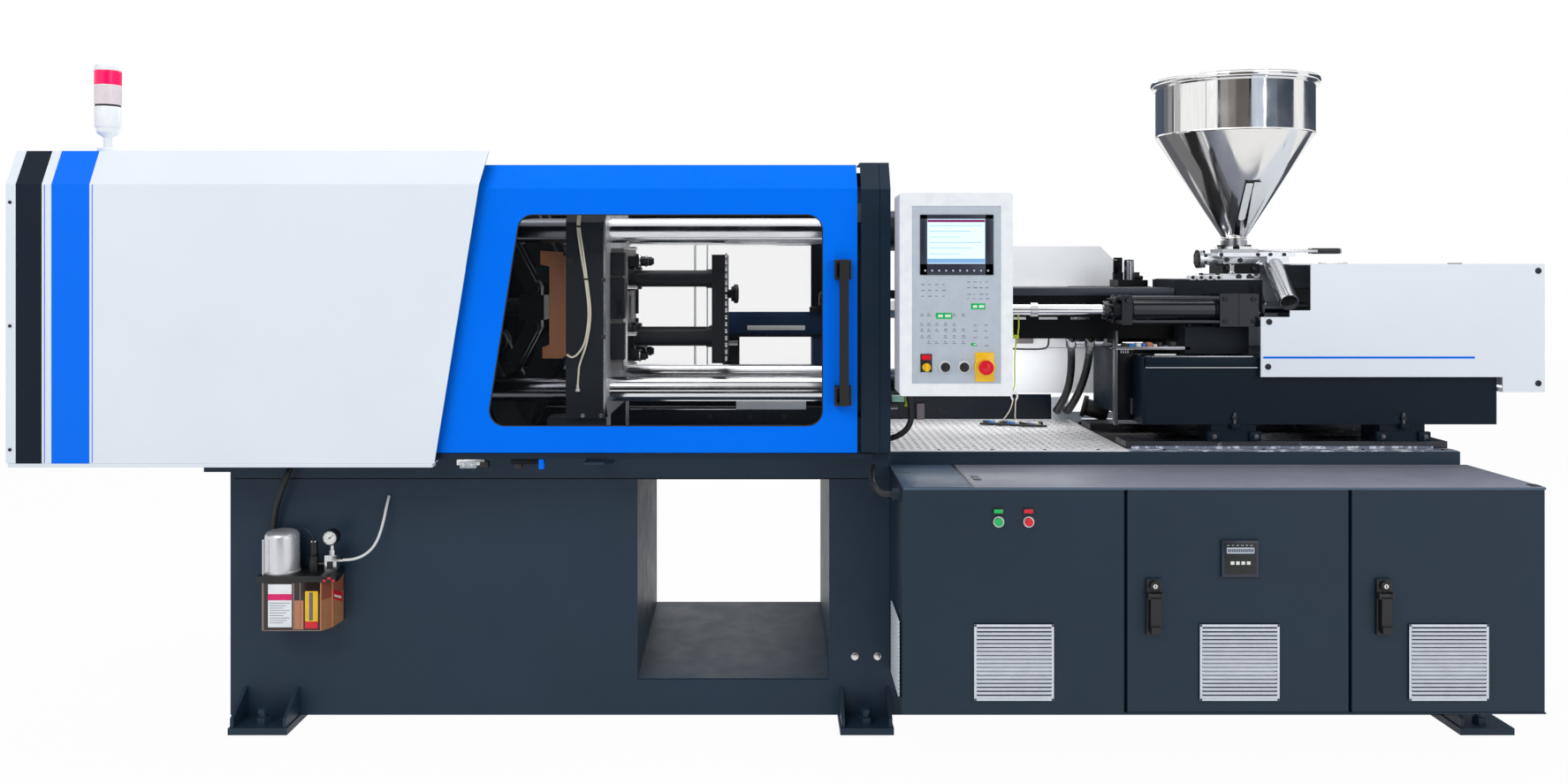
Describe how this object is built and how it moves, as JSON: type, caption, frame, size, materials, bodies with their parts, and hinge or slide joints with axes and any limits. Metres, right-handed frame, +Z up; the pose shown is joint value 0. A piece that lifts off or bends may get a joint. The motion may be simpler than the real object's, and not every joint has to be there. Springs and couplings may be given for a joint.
{
  "type": "injection moulding machine",
  "caption": "Horizontal injection moulding machine with a toggle clamp behind sliding gates, a hopper-fed barrel on a sliding carriage, control panel, welded bed and electrical cabinet.",
  "frame": {"origin": "on the floor, in the middle of the machine's length and depth; the clamp and barrel axis is 1.235 m above it", "axes": "+X along the machine from the clamp to the injection end, +Y from the operator's side to the rear, +Z up"},
  "size_m": [4.504, 1.46, 1.972],
  "materials": {
    "bed_paint": "satin textured dark blue-grey paint",
    "cabinet_paint": "satin textured dark grey paint",
    "cover_paint": "satin white paint",
    "gate_paint": "gloss blue paint",
    "dark_casting": "painted dark casting",
    "toggle_iron": "machined and oiled",
    "bright_steel": "ground and chromed",
    "deck_aluminium": "checkered, mill finish",
    "window": "clear polycarbonate",
    "black_plastic": "fine texture",
    "guard_sheet": "black and white paint",
    "cylinder_black": "semi-gloss black",
    "hopper_steel": "polished stainless",
    "hopper_cast": "as cast, machined faces",
    "panel_case": "satin light grey",
    "green_button": "gloss",
    "red_button": "gloss",
    "yellow_knob": "gloss",
    "lubricator_mix": "clear reservoir with a black head",
    "signal_plastic": "grey body, red and clear lens",
    "tank_paint": "satin dark paint",
    "tube_white": "nylon tube",
    "hose_rubber": "satin"
  },
  "bodies": {
    "machine": {"machine_bed": "bed_paint", "mounting_feet": "bed_paint", "deck_plate": "deck_aluminium", "carriage_rails": "bright_steel", "fixed_platen": "dark_casting", "tail_platen": "dark_casting", "tie_bars": "bright_steel", "clamp_cylinder": "dark_casting", "clamp_covers": "cover_paint", "guard_frame": "bed_paint", "carriage_rods": "bright_steel", "cabinet_body": "cabinet_paint", "lubricator": "lubricator_mix", "signal_light": "signal_plastic", "hydraulic_unit": "tank_paint", "lubricator_tube": "tube_white", "cabinet_conduit": "hose_rubber", "lubricator_cable": "hose_rubber", "panel_cable": "hose_rubber"},
    "platen": {"moving_platen": "dark_casting", "mould_fixture": "toggle_iron"},
    "rear_link_upper": {"rear_toggle_link_upper": "toggle_iron"},
    "rear_link_lower": {"rear_toggle_link_lower": "toggle_iron"},
    "front_link_upper": {"front_toggle_link_upper": "toggle_iron"},
    "front_link_lower": {"front_toggle_link_lower": "toggle_iron"},
    "crosshead_block": {"crosshead": "toggle_iron"},
    "short_link_upper": {"crosshead_link_upper": "toggle_iron"},
    "short_link_lower": {"crosshead_link_lower": "toggle_iron"},
    "ejector": {"ejector_plate": "toggle_iron"},
    "gate_front": {"front_gate": "gate_paint", "front_gate_window": "window", "front_gate_handle": "black_plastic"},
    "gate_rear": {"rear_gate": "gate_paint", "rear_gate_window": "window"},
    "carriage": {"carriage_base": "dark_casting", "carriage_cover": "cover_paint", "feed_housing": "dark_casting", "barrel": "bright_steel", "barrel_guards": "guard_sheet", "carriage_cylinders": "cylinder_black", "injection_drive": "dark_casting", "hopper_base": "hopper_cast", "valve_block": "cylinder_black", "carriage_hose_left": "hose_rubber", "carriage_hose_right": "hose_rubber"},
    "ram": {"injection_ram": "dark_casting"},
    "screw_body": {"screw": "bright_steel"},
    "hopper_unit": {"hopper": "hopper_steel", "hopper_slide": "hopper_cast"},
    "middle_door": {"door_middle": "cabinet_paint"},
    "right_door": {"door_right": "cabinet_paint"},
    "middle_handle": {"swing_handle_middle": "black_plastic"},
    "right_handle": {"swing_handle_right": "black_plastic"},
    "green_start": {"start_button": "green_button"},
    "red_stop": {"stop_button": "red_button"},
    "panel": {"control_panel": "panel_case"},
    "selector": {"selector_knob": "yellow_knob"},
    "left_key": {"panel_button_left": "black_plastic"},
    "right_key": {"panel_button_right": "black_plastic"},
    "stop_mushroom": {"emergency_stop": "red_button"}
  },
  "joints": [
    {"name": "platen_slide", "type": "slide", "parent": "machine", "child": "platen", "axis": [1, 0, 0], "range_m": [0, 0.31]},
    {"name": "rear_link_upper_turn", "type": "hinge", "parent": "machine", "child": "rear_link_upper", "pos_m": [-1.013, 0, 1.355], "axis": [0, 1, 0], "range_deg": [0, 64.79]},
    {"name": "rear_link_lower_turn", "type": "hinge", "parent": "machine", "child": "rear_link_lower", "pos_m": [-1.013, 0, 1.115], "axis": [0, -1, 0], "range_deg": [0, 64.79]},
    {"name": "front_link_upper_turn", "type": "hinge", "parent": "platen", "child": "front_link_upper", "pos_m": [-0.783, 0, 1.355], "axis": [0, -1, 0], "range_deg": [0, 64.79]},
    {"name": "front_link_lower_turn", "type": "hinge", "parent": "platen", "child": "front_link_lower", "pos_m": [-0.783, 0, 1.115], "axis": [0, 1, 0], "range_deg": [0, 64.79]},
    {"name": "crosshead_travel", "type": "slide", "parent": "machine", "child": "crosshead_block", "axis": [1, 0, 0], "range_m": [0, 0.0983]},
    {"name": "short_link_upper_turn", "type": "hinge", "parent": "crosshead_block", "child": "short_link_upper", "pos_m": [-0.859, 0, 1.297], "axis": [0, -1, 0], "range_deg": [0, 56.61]},
    {"name": "short_link_lower_turn", "type": "hinge", "parent": "crosshead_block", "child": "short_link_lower", "pos_m": [-0.859, 0, 1.173], "axis": [0, 1, 0], "range_deg": [0, 56.61]},
    {"name": "ejector_travel", "type": "slide", "parent": "platen", "child": "ejector", "axis": [1, 0, 0], "range_m": [0, 0.06]},
    {"name": "front_gate_slide", "type": "slide", "parent": "machine", "child": "gate_front", "axis": [-1, 0, 0], "range_m": [0, 0.6]},
    {"name": "rear_gate_slide", "type": "slide", "parent": "machine", "child": "gate_rear", "axis": [-1, 0, 0], "range_m": [0, 0.6]},
    {"name": "carriage_slide", "type": "slide", "parent": "machine", "child": "carriage", "axis": [-1, 0, 0], "range_m": [0, 0.14]},
    {"name": "injection_stroke", "type": "slide", "parent": "carriage", "child": "ram", "axis": [1, 0, 0], "range_m": [0, 0.12]},
    {"name": "screw_turn", "type": "hinge", "parent": "ram", "child": "screw_body", "pos_m": [1, 0, 1.235], "axis": [1, 0, 0], "continuous": true},
    {"name": "hopper_travel", "type": "slide", "parent": "carriage", "child": "hopper_unit", "axis": [1, 0, 0], "range_m": [0, 0.115]},
    {"name": "middle_door_swing", "type": "hinge", "parent": "machine", "child": "middle_door", "pos_m": [1.463, -0.692, 0.46], "axis": [0, 0, 1], "range_deg": [0, 110]},
    {"name": "right_door_swing", "type": "hinge", "parent": "machine", "child": "right_door", "pos_m": [1.993, -0.692, 0.46], "axis": [0, 0, 1], "range_deg": [0, 110]},
    {"name": "middle_handle_lift", "type": "hinge", "parent": "middle_door", "child": "middle_handle", "pos_m": [0.9435, -0.717, 0.484], "axis": [-1, 0, 0], "range_deg": [0, 40]},
    {"name": "right_handle_lift", "type": "hinge", "parent": "right_door", "child": "right_handle", "pos_m": [1.563, -0.717, 0.484], "axis": [-1, 0, 0], "range_deg": [0, 40]},
    {"name": "green_start_press", "type": "slide", "parent": "machine", "child": "green_start", "axis": [0, 1, 0], "range_m": [0, 0.004], "stiffness_N_per_m": 400},
    {"name": "red_stop_press", "type": "slide", "parent": "machine", "child": "red_stop", "axis": [0, 1, 0], "range_m": [0, 0.004], "stiffness_N_per_m": 400},
    {"name": "panel_swivel", "type": "hinge", "parent": "machine", "child": "panel", "pos_m": [0.3, -0.474, 1.288], "axis": [0, 0, 1], "range_deg": [-8, 60]},
    {"name": "selector_turn", "type": "hinge", "parent": "panel", "child": "selector", "pos_m": [0.339, -0.64, 1.092], "axis": [0, 1, 0], "range_deg": [-45, 45]},
    {"name": "left_key_press", "type": "slide", "parent": "panel", "child": "left_key", "axis": [0, 1, 0], "range_m": [0, 0.004], "stiffness_N_per_m": 400},
    {"name": "right_key_press", "type": "slide", "parent": "panel", "child": "right_key", "axis": [0, 1, 0], "range_m": [0, 0.004], "stiffness_N_per_m": 400},
    {"name": "stop_mushroom_press", "type": "slide", "parent": "panel", "child": "stop_mushroom", "axis": [0, 1, 0], "range_m": [0, 0.005]}
  ],
  "couplings": [
    {"joint": "rear_link_upper_turn", "follows": "platen_slide", "rad_per_m": 3.6478},
    {"joint": "rear_link_lower_turn", "follows": "platen_slide", "rad_per_m": 3.6478},
    {"joint": "front_link_upper_turn", "follows": "platen_slide", "rad_per_m": 3.6478},
    {"joint": "front_link_lower_turn", "follows": "platen_slide", "rad_per_m": 3.6478},
    {"joint": "crosshead_travel", "follows": "platen_slide", "ratio": 0.31706},
    {"joint": "short_link_upper_turn", "follows": "platen_slide", "rad_per_m": 3.1872},
    {"joint": "short_link_lower_turn", "follows": "platen_slide", "rad_per_m": 3.1872}
  ]
}
